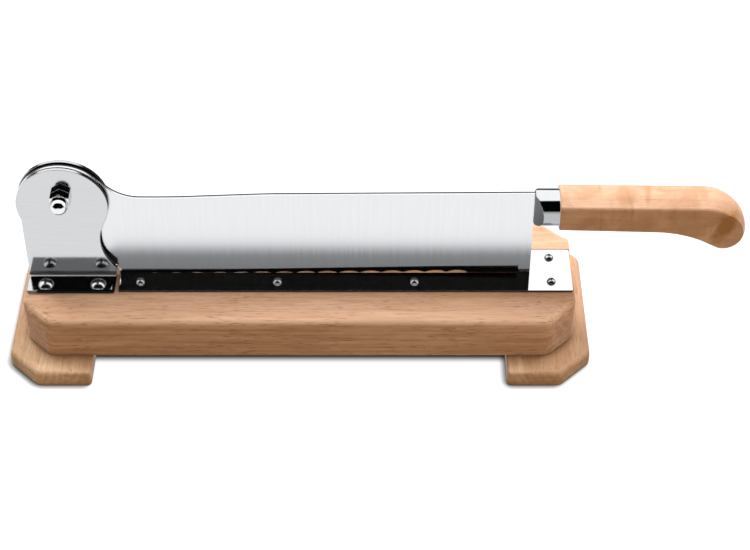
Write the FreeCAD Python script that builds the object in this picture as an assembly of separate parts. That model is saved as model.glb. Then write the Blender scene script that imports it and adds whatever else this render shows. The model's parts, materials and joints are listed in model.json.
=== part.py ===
import FreeCAD, Part
import math
import os

from FreeCAD import Vector

# Lever bread cutter, millimetres.
# A beech board on two cross feet carries a slotted steel plate. A long blade with a scalloped edge
# swings about a bolt between two bent steel brackets and drops through the slot.
# Frame: +X from the hinge to the handle, +Y away from the user, +Z up. The origin is on the table,
# under the middle of the whole cutter. The pieces are drawn about the blade's middle plane, and all
# of them move towards the user by BASE_SHIFT when they are saved, which centres the feet.

# ---------------------------------------------------------------- driving dimensions

# board
BOARD_LENGTH = 380.0
BOARD_WIDTH = 109.0
BOARD_THICKNESS = 31.5
BOARD_CORNER_CLIP = 19.0
BOARD_CORNER_ROUND = 10.0
BOARD_TOP_ROUND = 6.5
BOARD_END_ROUND = 1.5
BOARD_BOTTOM_ROUND = 1.0
BOARD_HINGE_MARGIN = 30.5      # from the pivot to the board's hinge end
BASE_SHIFT = 2.2               # the middle of board and feet behind the blade's plane

# feet
FOOT_LENGTH = 58.3
FOOT_WIDTH = 143.0
FOOT_THICKNESS = 12.0
FOOT_CORNER_CLIP = 21.5
FOOT_CORNER_ROUND = 8.0
FOOT_INNER_ROUND = 3.0
FOOT_TOP_ROUND = 5.0             # along the outer side and the clips
FOOT_INNER_TOP_ROUND = 2.5       # along the inner side
FOOT_BOTTOM_ROUND = 1.0
FOOT_OVERHANG = 11.0           # past each end of the board
FOOT_SCREW_SPACING = 62.0
FOOT_SCREW_SHANK = 4.5
FOOT_SCREW_HEAD = 8.6
FOOT_SCREW_LENGTH = 32.0
FOOT_SCREW_SINK = 0.8          # head below the foot's underside

# slot plate
PLATE_THICKNESS = 1.5
PLATE_WIDTH = 43.0
PLATE_END_INSET = 1.2          # from the board's handle end
PLATE_HINGE_GAP = 2.8          # between the brackets' flanges and the plate
PLATE_CORNER_ROUND = 1.0
SLOT_WIDTH = 6.0
SLOT_END_GAP = 1.2             # between the ground edge's end and the slot's end
SLOT_END_ROUND = 1.0
GROOVE_EXTRA_WIDTH = 0.8       # the board's groove is wider than the slot by this much
GROOVE_DEPTH = 9.0
PLATE_SCREW_ROW = 12.6         # from the blade's plane
PLATE_SCREW_START = 14.4       # from the plate's hinge end to the first screw
PLATE_SCREW_END = 14.5         # from the plate's handle end to the last one
PLATE_SCREW_COUNT = 4
PLATE_SCREW_HEAD = 6.4
PLATE_SCREW_HEAD_HEIGHT = 2.8
PLATE_SCREW_SHANK = 3.0
PLATE_SCREW_LENGTH = 16.0

# brackets
BRACKET_THICKNESS = 2.5
BRACKET_HINGE_REACH = 28.8     # from the pivot towards the hinge end
BRACKET_BLADE_REACH = 31.6     # from the pivot towards the blade
BRACKET_HEAD_RADIUS = 31.0
BRACKET_HEAD_DROP = 7.4        # the round head's centre below the pivot
BRACKET_WAIST_RADIUS = 36.0
BRACKET_WAIST_REACH = 23.0     # from the pivot to the waist's deepest point
BEND_RADIUS = 3.0              # inside the bend
FLANGE_DEPTH = 17.5            # from the upright's outer face
FLANGE_CORNER_ROUND = 1.8
BRACKET_SCREW_SPACING = 36.2
BRACKET_SCREW_SHIFT = 0.6      # towards the blade from the flange's middle
BRACKET_SCREW_SETBACK = 6.5    # from the flange's free edge
BRACKET_SCREW_HEAD = 11.0
BRACKET_SCREW_HEAD_HEIGHT = 3.9
BRACKET_SCREW_SHANK = 5.0
BRACKET_SCREW_LENGTH = 26.0

# pivot
PIVOT_HEIGHT = 69.5            # above the slot plate
PIVOT_BOLT = 8.0
BOLT_HEAD_ACROSS = 13.0
BOLT_HEAD_HEIGHT = 5.3
BOLT_END_IN_NUT = 9.5
CAP_NUT_HEX_HEIGHT = 6.5
CAP_NUT_HEIGHT = 15.0
CAP_NUT_NECK_RADIUS = 6.2
HEX_CHAMFER_ANGLE = 30.0
HEAD_WASHER_RADIUS = 8.0
HEAD_WASHER_THICKNESS = 1.6
BUSH_WALL = 2.0
SIDE_GAP = 1.4                 # between the blade and each bracket
SPACER_RADIUS = 11.0

# blade
BLADE_THICKNESS = 3.0
BLADE_REACH = 319.5            # from the pivot to the blade's square end
BLADE_HEAD_RADIUS = 30.4
BLADE_HEIGHT = 69.2            # from the tab's underside to the spine, at the handle end
SPINE_START_ANGLE = 45.0       # where the spine leaves the round head
SPINE_DIP_HEIGHT = 65.1
SPINE_DIP_END = 75.0           # from the pivot
SPINE_RISE_END = 139.0
SPINE_RISE_HEIGHT = 67.9
SPINE_HEAD_BLEND = 30.0
SPINE_ROUND_RUN = 10.0         # the spine's shallow corners start to round this far from each
NECK_REACH = 23.9              # from the pivot to the neck's upright edge
NECK_CORNER_HEIGHT = 23.0      # above the slot plate
NECK_BLEND = 20.0
HEEL_REACH = 33.2              # from the pivot
HEEL_CORNER_HEIGHT = 11.6
HEEL_CORNER_ROUND = 2.6
EDGE_DEPTH_AT_HEEL = 4.4       # below the slot plate's top, the points of the scallops
EDGE_DEPTH_AT_TIP = 1.4
BEVEL_TOP_AT_HEEL = 0.4        # above the slot plate's top
BEVEL_TOP_AT_TIP = 6.0
EDGE_LAND = 0.3                # thickness left at the edge
TAB_LENGTH = 8.2
TAB_CORNER_ROUND = 1.0
SCALLOP_COUNT = 16
SCALLOP_PITCH = 15.1
SCALLOP_DEPTH = 2.3
SCALLOP_FIRST = 9.2            # from the heel to the first scallop's middle

# ferrule, tang and handle
FERRULE_RADIUS = 13.0
FERRULE_LENGTH = 16.8
FERRULE_DROP = 12.2            # the arm's axis below the blade's spine
FERRULE_FLAT_RUN = 5.8         # along the axis
FERRULE_FLAT_NOSE = 2.5        # half the width left at the blade
FERRULE_EDGE_ROUND = 1.0
TONGUE_LENGTH = 9.0
TONGUE_HEIGHT = 14.0
TANG_RADIUS = 5.0
TANG_IN_HANDLE = 72.0
HANDLE_LENGTH = 128.2
HANDLE_WIDTH = 27.0
HANDLE_HALF_HEIGHT = 13.8
HANDLE_DROP = 0.3              # the grip's middle below the arm's axis, at the ferrule
HANDLE_SHOULDER_RUN = 9.5      # from the flat strip along the top out to the side face
HANDLE_SHOULDER_DROP = 4.3     # and down to it
HANDLE_SHOULDER_ROUND = 2.8
HANDLE_CROWN_ROUND = 12.0      # where the strip meets the slope
HANDLE_START_ROUND = 0.8
HANDLE_TOP_FALL = 1.4          # from the ferrule to the top's highest tangent point
HANDLE_TOP_RADIUS = 29.8
HANDLE_END_RADIUS = 13.9
HANDLE_END_DROP = 17.7         # the end round's centre below the arm's axis
HANDLE_BELLY_BACK = 29.6       # from the end round's centre back to the underside's corner
HANDLE_BELLY_DROP = 2.6        # that corner below the underside at the ferrule
HANDLE_BELLY_SHARE = 0.7       # share of the run from corner to end round that its own round takes
FACET_START = 108.5            # from the ferrule, on the side face, at the arm's axis
FACET_ANGLE = 12.0             # from the side face
FACET_LEAN = 27.0              # from upright

# fits
RUNNING_CLEARANCE = 0.05       # radial, blade on bush
SCREW_CLEARANCE = 0.15         # radial, screw shank in its hole
BOLT_CLEARANCE = 0.1           # radial, bolt in bracket, bush and washer
TONGUE_CLEARANCE = 0.1
TANG_CLEARANCE = 0.1
WASHER_CLEARANCE = 0.1         # between spacer washer and blade

# cross recess of a screw head, as shares of the head's width
RECESS_LENGTH_SHARE = 0.52
RECESS_WIDTH_SHARE = 0.15
RECESS_DEPTH_SHARE = 0.62      # of the head's height

# ---------------------------------------------------------------- places worked out from them

Z_AXIS = Vector(0, 0, 1)
MARGIN = 1.0                   # how far a cutting tool passes the face that it cuts
TOUCHING = 1e-4                # lengths below this count as nothing
HEXAGON_SIDES = 6

hinge_end = BOARD_HINGE_MARGIN + FOOT_OVERHANG
arm_end = BLADE_REACH + FERRULE_LENGTH + HANDLE_LENGTH
pivot_x = (hinge_end - arm_end) / 2

board_bottom = FOOT_THICKNESS
board_top = board_bottom + BOARD_THICKNESS
plate_top = board_top + PLATE_THICKNESS
pivot_z = plate_top + PIVOT_HEIGHT
board_left = pivot_x - BOARD_HINGE_MARGIN
board_right = board_left + BOARD_LENGTH

blade_half = BLADE_THICKNESS / 2
bracket_inner = blade_half + SIDE_GAP
bracket_outer = bracket_inner + BRACKET_THICKNESS
bush_radius = PIVOT_BOLT / 2 + BOLT_CLEARANCE + BUSH_WALL
flange_edge = bracket_outer + FLANGE_DEPTH
bracket_left = pivot_x - BRACKET_HINGE_REACH
bracket_right = pivot_x + BRACKET_BLADE_REACH
bracket_sheet_start = pivot_x - BRACKET_HEAD_RADIUS - MARGIN
bracket_screw_y = flange_edge - BRACKET_SCREW_SETBACK
bracket_screw_mid = (bracket_left + bracket_right) / 2 + BRACKET_SCREW_SHIFT
flange_top = board_top + BRACKET_THICKNESS

plate_left = bracket_right + PLATE_HINGE_GAP
plate_right = board_right - PLATE_END_INSET
heel_x = pivot_x + HEEL_REACH
blade_end = pivot_x + BLADE_REACH
tab_start = blade_end - TAB_LENGTH
slot_end = tab_start + SLOT_END_GAP
spine_z = plate_top + BLADE_HEIGHT
arm_axis_z = spine_z - FERRULE_DROP
ferrule_end = blade_end + FERRULE_LENGTH


# ---------------------------------------------------------------- helpers

def box(x0, x1, y0, y1, z0, z1):
    return Part.makeBox(x1 - x0, y1 - y0, z1 - z0, Vector(x0, y0, z0))


def cylinder_z(radius, x, y, z0, z1):
    return Part.makeCylinder(radius, z1 - z0, Vector(x, y, z0), Z_AXIS)


def cylinder_y(radius, y0, y1):
    """A cylinder on the pivot axis."""
    return Part.makeCylinder(radius, y1 - y0, Vector(pivot_x, y0, pivot_z), Vector(0, 1, 0))


def cylinder_x(radius, x0, x1):
    """A cylinder on the arm's axis."""
    return Part.makeCylinder(radius, x1 - x0, Vector(x0, 0, arm_axis_z), Vector(1, 0, 0))


def mirrored(shape):
    """The same piece on the other side of the blade's plane."""
    return shape.mirror(Vector(0, 0, 0), Vector(0, 1, 0))


def in_plan(points):
    """(x, y, radius) rows as corners in a level plane."""
    return [(Vector(x, y, 0), radius) for x, y, radius in points]


def in_side_view(points):
    """(x, z, radius) rows as corners in the blade's plane."""
    return [(Vector(x, 0, z), radius) for x, z, radius in points]


def corner_round(before, corner, after, radius):
    """Start, middle and end of the arc that rounds a corner."""
    back = (before - corner).normalize()
    forth = (after - corner).normalize()
    half_angle = back.getAngle(forth) / 2
    bisector = (back + forth).normalize()
    reach = radius / math.tan(half_angle)
    centre = corner + bisector * (radius / math.sin(half_angle))
    return corner + back * reach, centre - bisector * radius, corner + forth * reach


def path_edges(corners):
    """Straight and round edges of an open path; its first and last corners stay sharp."""
    edges = []
    here = corners[0][0]
    for index in range(1, len(corners) - 1):
        corner, radius = corners[index]
        if radius > 0:
            start, middle, end = corner_round(
                corners[index - 1][0], corner, corners[index + 1][0], radius)
            edges.append(Part.makeLine(here, start))
            edges.append(Part.Arc(start, middle, end).toShape())
            here = end
        else:
            edges.append(Part.makeLine(here, corner))
            here = corner
    edges.append(Part.makeLine(here, corners[-1][0]))
    return edges


def closed_face(corners):
    """A face whose outline starts halfway along its last side."""
    start = (corners[-1][0] + corners[0][0]) * 0.5
    loop = [(start, 0)] + corners + [(start, 0)]
    return Part.Face(Part.Wire(path_edges(loop)))


def tangent_point(point, centre, radius, side):
    """Where a line from a point touches a circle in the blade's plane; side is +1 or -1."""
    dx = point.x - centre.x
    dz = point.z - centre.z
    angle = math.atan2(dz, dx) + side * math.acos(radius / math.hypot(dx, dz))
    return centre + Vector(math.cos(angle), 0, math.sin(angle)) * radius


def on_circle(centre, radius, degrees):
    angle = math.radians(degrees)
    return centre + Vector(math.cos(angle), 0, math.sin(angle)) * radius


def edges_at_height(shape, z):
    """Numbers of the edges that lie level at a height, counted from 1."""
    numbers = []
    for number, edge in enumerate(shape.Edges, 1):
        if edge.BoundBox.ZLength < TOUCHING and abs(edge.BoundBox.ZMin - z) < TOUCHING:
            numbers.append(number)
    return numbers


def radius_for_run(before, corner, after, run):
    """The radius of a round that starts a given run from its corner."""
    half_angle = (before - corner).getAngle(after - corner) / 2
    return run * math.tan(half_angle)


def fillet_by_radii(shape, radii):
    """Fillet edges, each with a radius at its start and at its end."""
    document = FreeCAD.newDocument("fillet")
    base = document.addObject("Part::Feature", "base")
    base.Shape = shape
    fillet = document.addObject("Part::Fillet", "fillet")
    fillet.Base = base
    fillet.Edges = radii
    document.recompute()
    result = fillet.Shape.copy()
    FreeCAD.closeDocument(document.Name)
    return result


def save(name, shapes):
    """Write one node: a single solid, or a group of separate solids."""
    solids = [solid for shape in shapes for solid in shape.Solids]
    group = solids[0] if len(solids) == 1 else Part.makeCompound(solids)
    node = group.translated(Vector(0, -BASE_SHIFT, 0))
    node.exportStep(os.path.join("parts", name + ".step"))
    box_ = node.BoundBox
    print("%-22s solids %2d valid %s volume %9.1f  x %8.2f %8.2f  y %7.2f %7.2f  z %7.2f %7.2f" % (
        name, len(solids), node.isValid(), node.Volume,
        box_.XMin, box_.XMax, box_.YMin, box_.YMax, box_.ZMin, box_.ZMax))


# ---------------------------------------------------------------- screws and their places

def cross_recess(head_width, head_height, x, y, head_base):
    """The plus-shaped pocket in a screw head."""
    length = head_width * RECESS_LENGTH_SHARE / 2
    width = head_width * RECESS_WIDTH_SHARE / 2
    floor = head_base + head_height * (1 - RECESS_DEPTH_SHARE)
    top = head_base + head_height + MARGIN
    along = box(x - length, x + length, y - width, y + width, floor, top)
    across = box(x - width, x + width, y - length, y + length, floor, top)
    return along.fuse(across)


def dome_screw(x, y, seat, head_width, head_height, shank, length):
    """A dome head wood screw that stands on the height called seat."""
    head_radius = head_width / 2
    ball_radius = (head_radius ** 2 + head_height ** 2) / (2 * head_height)
    ball = Part.makeSphere(ball_radius, Vector(x, y, seat + head_height - ball_radius))
    head = ball.common(cylinder_z(head_radius, x, y, seat, seat + head_height + MARGIN))
    point_height = shank
    body = cylinder_z(shank / 2, x, y, seat - length + point_height, seat)
    point = Part.makeCone(0, shank / 2, point_height, Vector(x, y, seat - length), Z_AXIS)
    screw = head.fuse([body, point]).removeSplitter()
    return screw.cut(cross_recess(head_width, head_height, x, y, seat))


def screw_hole(x, y, z0, z1, shank):
    return cylinder_z(shank / 2 + SCREW_CLEARANCE, x, y, z0, z1)


def plate_screw_places():
    first = plate_left + PLATE_SCREW_START
    pitch = (plate_right - PLATE_SCREW_END - first) / (PLATE_SCREW_COUNT - 1)
    rows = (-PLATE_SCREW_ROW, PLATE_SCREW_ROW)
    return [(first + index * pitch, y) for index in range(PLATE_SCREW_COUNT) for y in rows]


def bracket_screw_places():
    """The front bracket's two screws; the rear ones are their mirror image."""
    half = BRACKET_SCREW_SPACING / 2
    return [(bracket_screw_mid - half, -bracket_screw_y), (bracket_screw_mid + half, -bracket_screw_y)]


def foot_middle(side):
    """Middle of a foot along X; side is -1 at the hinge end and +1 at the handle end."""
    if side < 0:
        return board_left - FOOT_OVERHANG + FOOT_LENGTH / 2
    return board_right + FOOT_OVERHANG - FOOT_LENGTH / 2


def foot_screw_places(side):
    x = foot_middle(side) - side * FOOT_OVERHANG / 2
    half = FOOT_SCREW_SPACING / 2
    return [(x, BASE_SHIFT - half), (x, BASE_SHIFT + half)]


# ---------------------------------------------------------------- base

def clipped_plate(x0, x1, half_width, thickness, clip, corner_radius):
    """A slab with its four corners clipped; its underside is at Z = 0."""
    rows = [
        (x0 + clip, -half_width, corner_radius), (x1 - clip, -half_width, corner_radius),
        (x1, -half_width + clip, corner_radius), (x1, half_width - clip, corner_radius),
        (x1 - clip, half_width, corner_radius), (x0 + clip, half_width, corner_radius),
        (x0, half_width - clip, corner_radius), (x0, -half_width + clip, corner_radius)]
    return closed_face(in_plan(rows)).extrude(Vector(0, 0, thickness))


def board_radii(slab):
    """Large rounds on the sides and clips, small ones on the ends, easing in between."""
    def radius_at(vertex):
        on_end = min(abs(vertex.X - board_left), abs(vertex.X - board_right)) < TOUCHING
        return BOARD_END_ROUND if on_end else BOARD_TOP_ROUND

    radii = []
    for number in edges_at_height(slab, BOARD_THICKNESS):
        edge = slab.Edges[number - 1]
        start, end = edge.Vertexes[0], edge.Vertexes[-1]
        radii.append((number, radius_at(start), radius_at(end)))
    for number in edges_at_height(slab, 0):
        radii.append((number, BOARD_BOTTOM_ROUND, BOARD_BOTTOM_ROUND))
    return radii


def base_board():
    slab = clipped_plate(board_left, board_right, BOARD_WIDTH / 2, BOARD_THICKNESS,
                         BOARD_CORNER_CLIP, BOARD_CORNER_ROUND)
    board = fillet_by_radii(slab, board_radii(slab))
    board.translate(Vector(0, BASE_SHIFT, board_bottom))
    groove_half = (SLOT_WIDTH + GROOVE_EXTRA_WIDTH) / 2
    groove_floor = plate_top - GROOVE_DEPTH
    groove_start = heel_x - groove_half
    tools = [
        box(groove_start, slot_end, -groove_half, groove_half, groove_floor, board_top + MARGIN),
        cylinder_z(groove_half, groove_start, 0, groove_floor, board_top + MARGIN)]
    for x, y in plate_screw_places():
        depth = PLATE_SCREW_LENGTH - PLATE_THICKNESS + MARGIN
        tools.append(screw_hole(x, y, board_top - depth, board_top + MARGIN, PLATE_SCREW_SHANK))
    for x, y in bracket_screw_places():
        depth = BRACKET_SCREW_LENGTH - BRACKET_THICKNESS + MARGIN
        for side in (y, -y):
            tools.append(screw_hole(x, side, board_top - depth, board_top + MARGIN, BRACKET_SCREW_SHANK))
    for side in (-1, 1):
        for x, y in foot_screw_places(side):
            tip = FOOT_SCREW_SINK + FOOT_SCREW_LENGTH + MARGIN
            tools.append(screw_hole(x, y, board_bottom - MARGIN, tip, FOOT_SCREW_SHANK))
    return board.cut(tools)


def countersink(x, y, clearance):
    """The cone that a countersunk head fills, with a clearance all round."""
    head = FOOT_SCREW_HEAD / 2 + clearance
    shank = FOOT_SCREW_SHANK / 2 + clearance
    return Part.makeCone(head, shank, head - shank, Vector(x, y, FOOT_SCREW_SINK), Z_AXIS)


def foot_radii(slab, inner):
    """Large rounds on the outer side and the clips, easing to small ones on the inner side."""
    def radius_at(vertex):
        on_inner = abs(vertex.X - inner) < FOOT_INNER_ROUND + TOUCHING
        return FOOT_INNER_TOP_ROUND if on_inner else FOOT_TOP_ROUND

    radii = []
    for number in edges_at_height(slab, FOOT_THICKNESS):
        edge = slab.Edges[number - 1]
        start, end = edge.Vertexes[0], edge.Vertexes[-1]
        radii.append((number, radius_at(start), radius_at(end)))
    for number in edges_at_height(slab, 0):
        radii.append((number, FOOT_BOTTOM_ROUND, FOOT_BOTTOM_ROUND))
    return radii


def foot(side):
    x0 = foot_middle(side) - FOOT_LENGTH / 2
    x1 = x0 + FOOT_LENGTH
    outer, inner = (x0, x1) if side < 0 else (x1, x0)
    step = FOOT_CORNER_CLIP if side < 0 else -FOOT_CORNER_CLIP
    half = FOOT_WIDTH / 2
    rows = [
        (outer + step, -half, FOOT_CORNER_ROUND), (inner, -half, FOOT_INNER_ROUND),
        (inner, half, FOOT_INNER_ROUND), (outer + step, half, FOOT_CORNER_ROUND),
        (outer, half - FOOT_CORNER_CLIP, FOOT_CORNER_ROUND),
        (outer, -half + FOOT_CORNER_CLIP, FOOT_CORNER_ROUND)]
    slab = closed_face(in_plan(rows)).extrude(Vector(0, 0, FOOT_THICKNESS))
    body = fillet_by_radii(slab, foot_radii(slab, inner))
    body.translate(Vector(0, BASE_SHIFT, 0))
    tools = []
    for x, y in foot_screw_places(side):
        head = FOOT_SCREW_HEAD / 2 + SCREW_CLEARANCE
        tools.append(screw_hole(x, y, -MARGIN, FOOT_THICKNESS + MARGIN, FOOT_SCREW_SHANK))
        tools.append(countersink(x, y, SCREW_CLEARANCE))
        tools.append(cylinder_z(head, x, y, -MARGIN, FOOT_SCREW_SINK))
    return body.cut(tools)


def foot_screws(side):
    screws = []
    for x, y in foot_screw_places(side):
        tip = FOOT_SCREW_SINK + FOOT_SCREW_LENGTH
        point_height = FOOT_SCREW_SHANK
        shank = cylinder_z(FOOT_SCREW_SHANK / 2, x, y, FOOT_SCREW_SINK, tip - point_height)
        point = Part.makeCone(FOOT_SCREW_SHANK / 2, 0, point_height,
                              Vector(x, y, tip - point_height), Z_AXIS)
        screw = countersink(x, y, 0).fuse([shank, point]).removeSplitter()
        length = FOOT_SCREW_HEAD * RECESS_LENGTH_SHARE / 2
        width = FOOT_SCREW_HEAD * RECESS_WIDTH_SHARE / 2
        floor = FOOT_SCREW_SINK + (FOOT_SCREW_HEAD - FOOT_SCREW_SHANK) / 2 * RECESS_DEPTH_SHARE
        along = box(x - length, x + length, y - width, y + width, 0, floor)
        across = box(x - width, x + width, y - length, y + length, 0, floor)
        screws.append(screw.cut([along, across]))
    return screws


def slot_plate():
    half = PLATE_WIDTH / 2
    rows = [(plate_left, -half, PLATE_CORNER_ROUND), (plate_right, -half, PLATE_CORNER_ROUND),
            (plate_right, half, PLATE_CORNER_ROUND), (plate_left, half, PLATE_CORNER_ROUND)]
    sheet = closed_face(in_plan(rows)).extrude(Vector(0, 0, PLATE_THICKNESS))
    slot_half = SLOT_WIDTH / 2
    before = plate_left - MARGIN
    slot_rows = [(before, -slot_half, 0), (slot_end, -slot_half, SLOT_END_ROUND),
                 (slot_end, slot_half, SLOT_END_ROUND), (before, slot_half, 0)]
    slot = closed_face(in_plan(slot_rows)).extrude(Vector(0, 0, PLATE_THICKNESS + 2 * MARGIN))
    slot.translate(Vector(0, 0, -MARGIN))
    plate = sheet.cut(slot)
    plate.translate(Vector(0, 0, board_top))
    holes = [screw_hole(x, y, board_top - MARGIN, plate_top + MARGIN, PLATE_SCREW_SHANK)
             for x, y in plate_screw_places()]
    return plate.cut(holes)


def slot_plate_screws():
    return [dome_screw(x, y, plate_top, PLATE_SCREW_HEAD, PLATE_SCREW_HEAD_HEIGHT,
                       PLATE_SCREW_SHANK, PLATE_SCREW_LENGTH)
            for x, y in plate_screw_places()]


# ---------------------------------------------------------------- brackets

def bracket_outline():
    """The bracket seen from the front: round head, straight hinge side, waist on the blade side."""
    head = Vector(pivot_x, 0, pivot_z - BRACKET_HEAD_DROP)
    waist_centre_x = BRACKET_WAIST_REACH + BRACKET_WAIST_RADIUS
    centres_apart = BRACKET_HEAD_RADIUS + BRACKET_WAIST_RADIUS
    waist_drop = math.sqrt(centres_apart ** 2 - waist_centre_x ** 2)
    waist = head + Vector(waist_centre_x, 0, -waist_drop)
    touch = head + (waist - head) * (BRACKET_HEAD_RADIUS / centres_apart)
    hinge_drop = math.sqrt(BRACKET_HEAD_RADIUS ** 2 - BRACKET_HINGE_REACH ** 2)
    hinge_top = head + Vector(-BRACKET_HINGE_REACH, 0, -hinge_drop)
    flare_drop = math.sqrt(BRACKET_WAIST_RADIUS ** 2 - (waist.x - bracket_right) ** 2)
    flare = Vector(bracket_right, 0, waist.z - flare_drop)
    waist_middle = waist - Vector(BRACKET_WAIST_RADIUS, 0, 0)
    head_top = head + Vector(0, 0, BRACKET_HEAD_RADIUS)
    low_right = Vector(bracket_right, 0, board_top)
    low_left = Vector(bracket_left, 0, board_top)
    edges = [
        Part.Arc(hinge_top, head_top, touch).toShape(),
        Part.Arc(touch, waist_middle, flare).toShape(),
        Part.makeLine(flare, low_right),
        Part.makeLine(low_right, low_left),
        Part.makeLine(low_left, hinge_top)]
    return Part.Face(Part.Wire(edges))


def bracket_section():
    """The bent sheet seen along X: an upright and a flange towards the user."""
    outer_bend = BEND_RADIUS + BRACKET_THICKNESS
    top = pivot_z + BRACKET_HEAD_RADIUS
    rows = [(-bracket_inner, top, 0), (-bracket_outer, top, 0),
            (-bracket_outer, flange_top, BEND_RADIUS), (-flange_edge, flange_top, 0),
            (-flange_edge, board_top, 0), (-bracket_inner, board_top, outer_bend)]
    corners = [(Vector(bracket_sheet_start, y, z), radius) for y, z, radius in rows]
    return closed_face(corners)


def front_bracket():
    length = bracket_right - bracket_sheet_start + MARGIN
    bent_sheet = bracket_section().extrude(Vector(length, 0, 0))
    prism = bracket_outline().extrude(Vector(0, -flange_edge - MARGIN, 0))
    bracket = bent_sheet.common(prism)
    corner_edges = []
    for edge in bracket.Edges:
        bounds = edge.BoundBox
        at_free_edge = max(abs(bounds.YMin + flange_edge), abs(bounds.YMax + flange_edge)) < TOUCHING
        if at_free_edge and bounds.ZLength > BRACKET_THICKNESS / 2 and bounds.XLength < TOUCHING:
            corner_edges.append(edge)
    bracket = bracket.makeFillet(FLANGE_CORNER_ROUND, corner_edges)
    holes = [cylinder_y(PIVOT_BOLT / 2 + BOLT_CLEARANCE, -bracket_outer - MARGIN, 0)]
    for x, y in bracket_screw_places():
        holes.append(screw_hole(x, y, board_top - MARGIN, flange_top + MARGIN, BRACKET_SCREW_SHANK))
    return bracket.cut(holes)


def bracket_screws():
    return [dome_screw(x, y, flange_top, BRACKET_SCREW_HEAD, BRACKET_SCREW_HEAD_HEIGHT,
                       BRACKET_SCREW_SHANK, BRACKET_SCREW_LENGTH)
            for x, y in bracket_screw_places()]


# ---------------------------------------------------------------- pivot

def hexagon(y0, y1):
    """A hexagonal prism on the pivot axis, with a corner on top."""
    corner_radius = BOLT_HEAD_ACROSS / 2 / math.cos(math.pi / HEXAGON_SIDES)
    centre = Vector(pivot_x, y0, pivot_z)
    points = [on_circle(centre, corner_radius, 360 / HEXAGON_SIDES * (step + 0.5))
              for step in range(HEXAGON_SIDES + 1)]
    return Part.Face(Part.makePolygon(points)).extrude(Vector(0, y1 - y0, 0))


def hex_chamfer_cone(y_face, towards):
    """The cone that trims a hexagon's corners at its outer face; towards is where the hexagon lies."""
    slope = math.tan(math.radians(HEX_CHAMFER_ANGLE))
    reach = BOLT_HEAD_ACROSS
    small = BOLT_HEAD_ACROSS / 2
    large = small + reach / slope
    return Part.makeCone(small, large, reach, Vector(pivot_x, y_face, pivot_z), Vector(0, towards, 0))


def pivot_bolt():
    head_start = bracket_outer + HEAD_WASHER_THICKNESS
    head_end = head_start + BOLT_HEAD_HEIGHT
    head = hexagon(head_start, head_end).common(hex_chamfer_cone(head_end, -1))
    shank = cylinder_y(PIVOT_BOLT / 2, -bracket_outer - BOLT_END_IN_NUT, head_start + MARGIN)
    return head.fuse(shank).removeSplitter()


def pivot_head_washer():
    ring = cylinder_y(HEAD_WASHER_RADIUS, bracket_outer, bracket_outer + HEAD_WASHER_THICKNESS)
    bore = cylinder_y(PIVOT_BOLT / 2 + BOLT_CLEARANCE, 0, bracket_outer + HEAD_WASHER_THICKNESS + MARGIN)
    return ring.cut(bore)


def pivot_cap_nut():
    """A hexagon with a domed cap, blind bored for the bolt's end."""
    face = -bracket_outer
    hex_end = face - CAP_NUT_HEX_HEIGHT
    dome_y = face - CAP_NUT_HEIGHT + CAP_NUT_NECK_RADIUS
    body = hexagon(hex_end, face).common(hex_chamfer_cone(hex_end, 1))
    neck = cylinder_y(CAP_NUT_NECK_RADIUS, dome_y, hex_end + MARGIN)
    dome = Part.makeSphere(CAP_NUT_NECK_RADIUS, Vector(pivot_x, dome_y, pivot_z))
    bore_depth = BOLT_END_IN_NUT + BOLT_CLEARANCE
    bore = cylinder_y(PIVOT_BOLT / 2 + BOLT_CLEARANCE, face - bore_depth, face + MARGIN)
    return body.fuse([neck, dome]).removeSplitter().cut(bore)


def pivot_bush():
    sleeve = cylinder_y(bush_radius, -bracket_inner, bracket_inner)
    bore = cylinder_y(PIVOT_BOLT / 2 + BOLT_CLEARANCE, -bracket_inner - MARGIN, bracket_inner + MARGIN)
    return sleeve.cut(bore)


def front_spacer_washer():
    ring = cylinder_y(SPACER_RADIUS, -bracket_inner, -blade_half - WASHER_CLEARANCE)
    return ring.cut(cylinder_y(bush_radius + BOLT_CLEARANCE, -bracket_inner - MARGIN, 0))


# ---------------------------------------------------------------- blade

def edge_height(x):
    """Height of the scallops' points along the edge."""
    share = (x - heel_x) / (tab_start - heel_x)
    depth = EDGE_DEPTH_AT_HEEL + (EDGE_DEPTH_AT_TIP - EDGE_DEPTH_AT_HEEL) * share
    return plate_top - depth


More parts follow.
